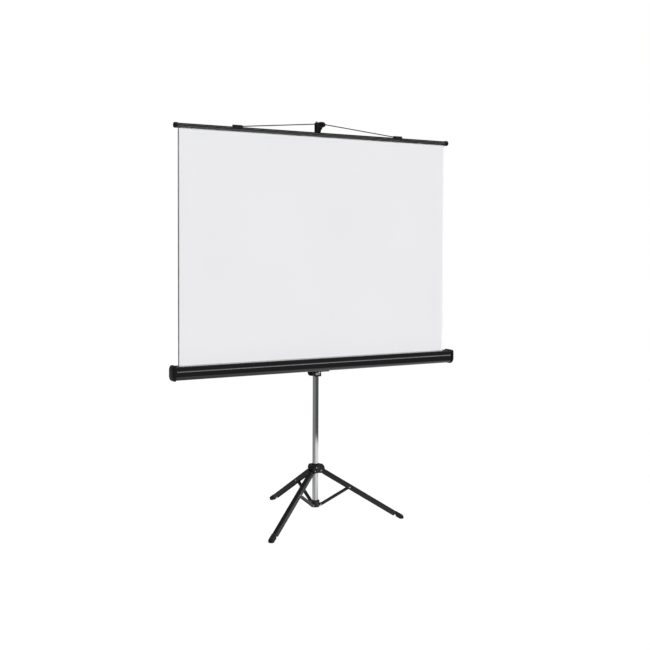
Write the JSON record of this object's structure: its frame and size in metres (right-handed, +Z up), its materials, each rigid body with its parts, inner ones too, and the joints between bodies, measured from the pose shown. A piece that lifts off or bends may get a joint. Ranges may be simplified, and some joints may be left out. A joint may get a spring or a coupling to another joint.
{
  "type": "tripod projection screen",
  "caption": "Tripod projection screen set up: matt white cloth drawn from a long black spring-roller case to a hanging bar, on a chrome column with folding channel legs",
  "frame": {"origin": "on the floor, under the middle of the bounding box", "axes": "+Z up along the column, -Y the viewing side of the screen, +X along the case to the right seen from the front"},
  "size_m": [1.5886, 0.7118, 2.009],
  "materials": {
    "chrome": "polished",
    "steel": "satin",
    "black_paint": "gloss",
    "black_plastic": "satin",
    "rubber": "matte",
    "nylon": "satin",
    "screen_cloth": "matte"
  },
  "bodies": {
    "stand": {"column_tube": "chrome", "lower_collar": "black_plastic", "collar_rivet_1": "steel", "collar_rivet_2": "steel", "collar_rivet_3": "steel", "column_collar": "black_plastic"},
    "strut_1": {"strut_1": "black_paint"},
    "strut_2": {"strut_2": "black_paint"},
    "strut_3": {"strut_3": "black_paint"},
    "leg_1": {"leg_1": "black_paint", "foot_1": "rubber", "strut_rivet_1": "steel"},
    "leg_2": {"leg_2": "black_paint", "foot_2": "rubber", "strut_rivet_2": "steel"},
    "leg_3": {"leg_3": "black_paint", "foot_3": "rubber", "strut_rivet_3": "steel"},
    "hub": {"leg_hub": "black_plastic", "hub_rivet_1": "steel", "hub_rivet_2": "steel", "hub_rivet_3": "steel", "hub_screw": "black_paint"},
    "bush": {"carrier_bush": "black_plastic"},
    "screen": {"case_carrier": "black_plastic", "carrier_screw_left": "steel", "carrier_screw_right": "steel", "lever_pin": "steel", "case_shell": "black_paint", "case_cap_left": "black_plastic", "case_cap_right": "black_plastic", "spring_arbor": "steel", "roller_gudgeon": "steel"},
    "lever": {"height_lever": "black_plastic", "lock_plate": "chrome"},
    "roller": {"roller_tube": "steel", "roller_plug_left": "black_plastic", "roller_plug_right": "black_plastic", "fabric_roll": "screen_cloth", "roller_spring": "steel"},
    "lift": {"extension_rod": "chrome", "rod_bush": "nylon", "hanger_hook": "black_plastic", "hanger_cap": "steel", "hanging_wire": "steel", "wire_clip_right": "black_plastic", "wire_clip_left": "black_plastic", "top_bar": "black_paint", "bar_knob_right": "black_plastic", "bar_knob_left": "black_plastic", "fabric_spline": "nylon", "screen_fabric": "screen_cloth"},
    "clamp": {"clamp_knob": "black_plastic", "clamp_screw": "steel"}
  },
  "joints": [
    {"name": "leg_fold", "type": "hinge", "parent": "stand", "child": "strut_1", "pos_m": [0.026, -0.10815, 0.077], "axis": [-0.4431, -0.8965, 0], "range_deg": [0, 54.9]},
    {"name": "leg_1_spread", "type": "hinge", "parent": "strut_1", "child": "leg_1", "pos_m": [0.1565, -0.17264, 0.16481], "axis": [0.4431, 0.8965, 0], "range_deg": [0, 109.8]},
    {"name": "strut_2_fold", "type": "hinge", "parent": "stand", "child": "strut_2", "pos_m": [-0.00187, -0.06636, 0.077], "axis": [0.9979, 0.0645, 0], "range_deg": [0, 54.9]},
    {"name": "leg_2_spread", "type": "hinge", "parent": "strut_2", "child": "leg_2", "pos_m": [-0.01127, 0.0789, 0.16481], "axis": [-0.9979, -0.0645, 0], "range_deg": [0, 109.8]},
    {"name": "strut_3_fold", "type": "hinge", "parent": "stand", "child": "strut_3", "pos_m": [-0.02413, -0.11139, 0.077], "axis": [-0.5548, 0.832, 0], "range_deg": [0, 54.9]},
    {"name": "leg_3_spread", "type": "hinge", "parent": "strut_3", "child": "leg_3", "pos_m": [-0.14523, -0.19216, 0.16481], "axis": [0.5548, -0.832, 0], "range_deg": [0, 109.8]},
    {"name": "hub_level", "type": "hinge", "parent": "leg_1", "child": "hub", "pos_m": [0.026, -0.10815, 0.25262], "axis": [-0.4431, -0.8965, 0], "range_deg": [0, 54.9]},
    {"name": "case_height", "type": "slide", "parent": "stand", "child": "bush", "axis": [0, 0, 1], "range_m": [-0.12, 0.14]},
    {"name": "screen_swivel", "type": "hinge", "parent": "bush", "child": "screen", "pos_m": [0, -0.0953, 0.795], "axis": [0, 0, 1], "continuous": true},
    {"name": "screen_pull", "type": "slide", "parent": "screen", "child": "lift", "axis": [0, 0, 1], "range_m": [-0.66, 0], "deforming": ["screen_fabric"]},
    {"name": "roller_spin", "type": "hinge", "parent": "screen", "child": "roller", "pos_m": [0, -0.1614, 0.798], "axis": [1, 0, 0], "range_deg": [-2096, 0]},
    {"name": "height_press", "type": "hinge", "parent": "screen", "child": "lever", "pos_m": [-0.029, -0.1128, 0.752], "axis": [0, 1, 0], "range_deg": [0, 8], "stiffness_Nm_per_rad": 0.6, "springref_deg": -11.46},
    {"name": "clamp_turn", "type": "hinge", "parent": "stand", "child": "clamp", "pos_m": [0, -0.0683, 1.1113], "axis": [0, 1, 0], "range_deg": [0, 180]}
  ],
  "couplings": [
    {"joint": "leg_1_spread", "follows": "leg_fold", "ratio": 2},
    {"joint": "strut_2_fold", "follows": "leg_fold", "ratio": 1},
    {"joint": "leg_2_spread", "follows": "leg_fold", "ratio": 2},
    {"joint": "strut_3_fold", "follows": "leg_fold", "ratio": 1},
    {"joint": "leg_3_spread", "follows": "leg_fold", "ratio": 2},
    {"joint": "hub_level", "follows": "leg_fold", "ratio": 1},
    {"joint": "roller_spin", "follows": "screen_pull", "rad_per_m": 55.249}
  ]
}
